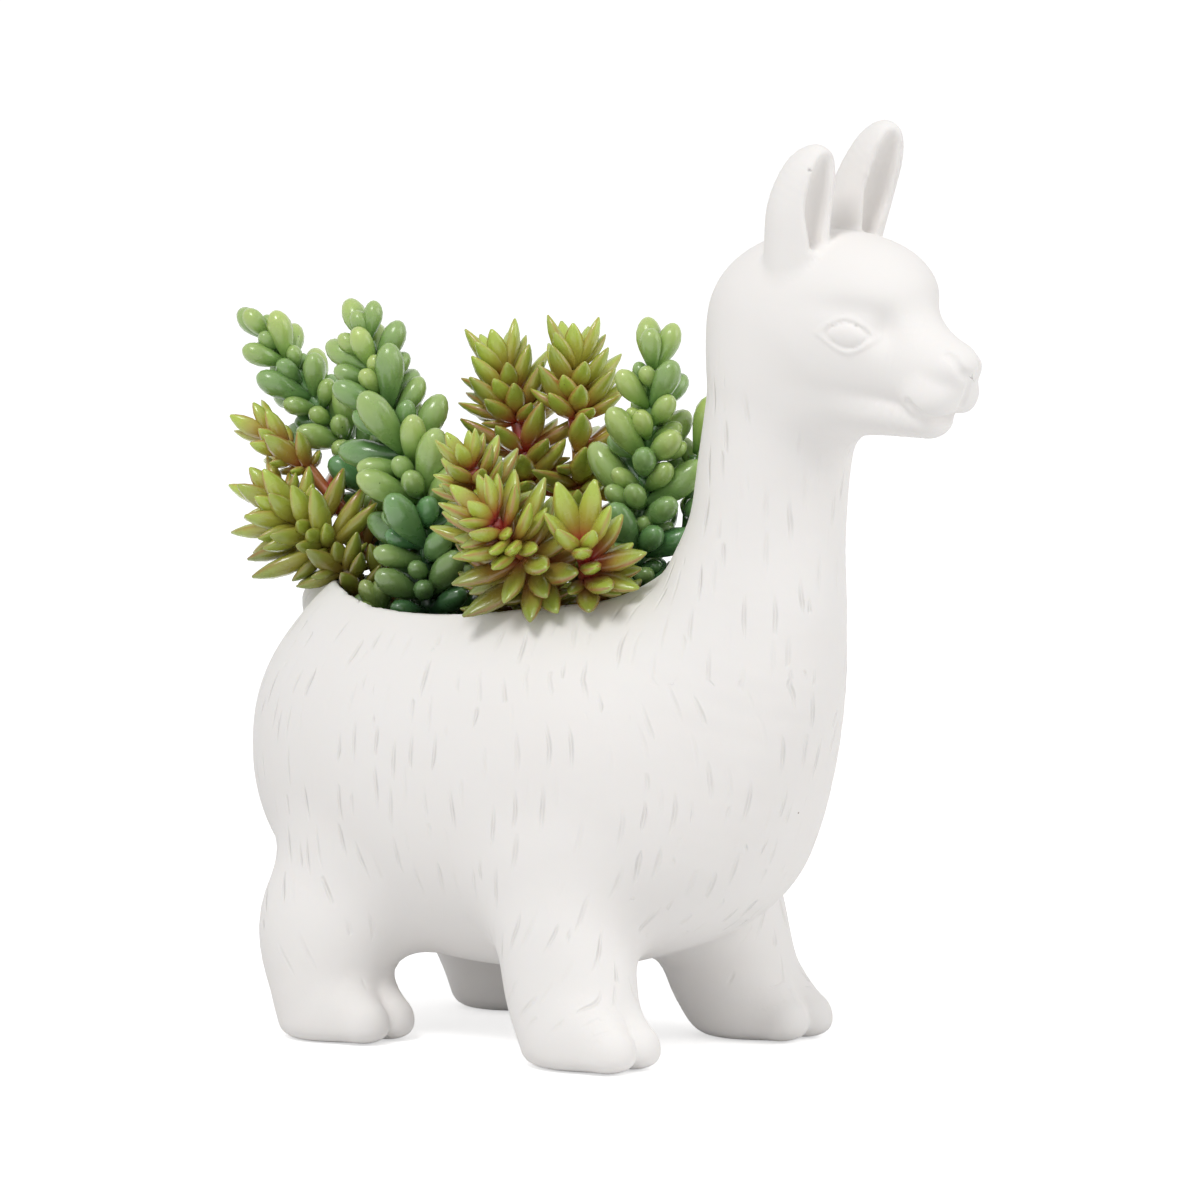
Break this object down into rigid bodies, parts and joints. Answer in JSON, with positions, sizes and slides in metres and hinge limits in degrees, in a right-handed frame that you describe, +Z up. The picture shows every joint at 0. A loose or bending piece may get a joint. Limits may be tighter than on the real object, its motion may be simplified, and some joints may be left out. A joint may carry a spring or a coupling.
{
  "type": "animal shaped planter",
  "caption": "Free-standing bisque ceramic planter shaped as a standing llama, with an oval mouth in its back holding a lift-out insert of moulded succulent sprigs.",
  "frame": {"origin": "on the surface that the planter stands on, under the middle of the whole, sprigs included", "axes": "+X towards the nose, +Y to the llama's left, +Z up"},
  "size_m": [0.2319, 0.0992, 0.2291],
  "materials": {
    "bisque": "matte unglazed white bisque",
    "foam": "dark green floral foam",
    "wire": "green-coated steel wire",
    "green_leaf": "soft translucent green vinyl",
    "red_leaf": "soft translucent yellow-green vinyl blushed red"
  },
  "bodies": {
    "planter": {"planter_body": "bisque"},
    "plant_insert": {"foam_block": "foam", "green_sprig_1_tier_1": "green_leaf", "green_sprig_1_tier_2": "green_leaf", "green_sprig_1_tier_3": "green_leaf", "green_sprig_1_tier_4": "green_leaf", "green_sprig_1_tier_5": "green_leaf", "green_sprig_1_tier_6": "green_leaf", "green_sprig_1_wire": "wire", "green_sprig_2_tier_1": "green_leaf", "green_sprig_2_tier_2": "green_leaf", "green_sprig_2_tier_3": "green_leaf", "green_sprig_2_tier_4": "green_leaf", "green_sprig_2_tier_5": "green_leaf", "green_sprig_2_tier_6": "green_leaf", "green_sprig_2_tier_7": "green_leaf", "green_sprig_2_wire": "wire", "green_sprig_3_tier_1": "green_leaf", "green_sprig_3_tier_2": "green_leaf", "green_sprig_3_tier_3": "green_leaf", "green_sprig_3_tier_4": "green_leaf", "green_sprig_3_tier_5": "green_leaf", "green_sprig_3_tier_6": "green_leaf", "green_sprig_3_wire": "wire", "green_sprig_4_tier_1": "green_leaf", "green_sprig_4_tier_2": "green_leaf", "green_sprig_4_tier_3": "green_leaf", "green_sprig_4_tier_4": "green_leaf", "green_sprig_4_wire": "wire", "green_sprig_5_tier_1": "green_leaf", "green_sprig_5_tier_2": "green_leaf", "green_sprig_5_wire": "wire", "red_sprig_1_tier_1": "red_leaf", "red_sprig_1_tier_2": "red_leaf", "red_sprig_1_wire": "wire", "red_sprig_2_tier_1": "red_leaf", "red_sprig_2_tier_2": "red_leaf", "red_sprig_2_wire": "wire", "red_sprig_3_tier_1": "red_leaf", "red_sprig_3_tier_2": "red_leaf", "red_sprig_3_wire": "wire", "red_sprig_4_tier_1": "red_leaf", "red_sprig_4_tier_2": "red_leaf", "red_sprig_4_wire": "wire", "red_sprig_5_tier_1": "red_leaf", "red_sprig_5_tier_2": "red_leaf", "red_sprig_5_wire": "wire", "red_sprig_6_tier_1": "red_leaf", "red_sprig_6_tier_2": "red_leaf", "red_sprig_6_wire": "wire", "red_sprig_7_tier_1": "red_leaf", "red_sprig_7_tier_2": "red_leaf", "red_sprig_7_wire": "wire"}
  },
  "joints": [
    {"name": "insert_lift", "type": "slide", "parent": "planter", "child": "plant_insert", "axis": [0, 0, 1], "range_m": [0, 0.085]}
  ]
}
